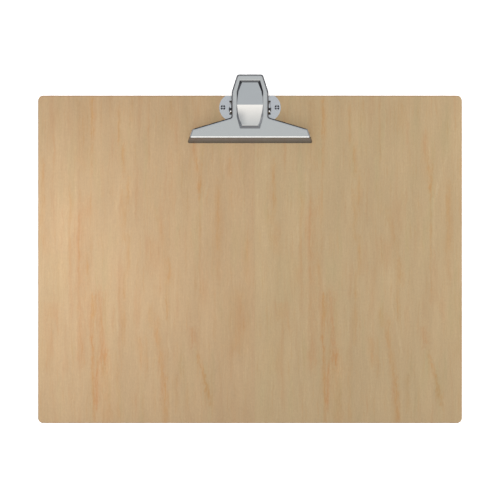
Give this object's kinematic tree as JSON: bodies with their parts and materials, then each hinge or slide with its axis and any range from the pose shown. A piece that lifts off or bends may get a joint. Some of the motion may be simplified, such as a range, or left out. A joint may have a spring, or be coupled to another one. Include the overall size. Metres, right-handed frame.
{
  "type": "portable drawing board",
  "caption": "Thin wooden board with a wide sprung steel clamp lever riveted at the middle of its top edge, to hold drawing paper.",
  "frame": {"origin": "centre of the board's flat back face", "axes": "+Z out of the drawing face, +Y towards the edge that carries the clamp, +X to the right seen from the front"},
  "size_m": [0.44, 0.3611, 0.0232],
  "materials": {
    "wood_face": "satin",
    "wood_core": "matte",
    "plated_steel": "satin",
    "pin_steel": "satin",
    "spring_steel": "satin",
    "rivet_steel": "gloss"
  },
  "bodies": {
    "board": {"front_ply": "wood_face", "core_ply": "wood_core", "back_ply": "wood_face", "base_plate": "plated_steel", "hinge_pin": "pin_steel", "torsion_spring": "spring_steel", "rivet_left": "rivet_steel", "rivet_right": "rivet_steel"},
    "lever": {"clamp_lever": "plated_steel"}
  },
  "joints": [
    {"name": "clamp_hinge", "type": "hinge", "parent": "board", "child": "lever", "pos_m": [0, 0.1553, 0.0105], "axis": [-1, 0, 0], "range_deg": [0, 25], "stiffness_Nm_per_rad": 0.345, "springref_deg": -73.34, "deforming": ["torsion_spring"]}
  ]
}
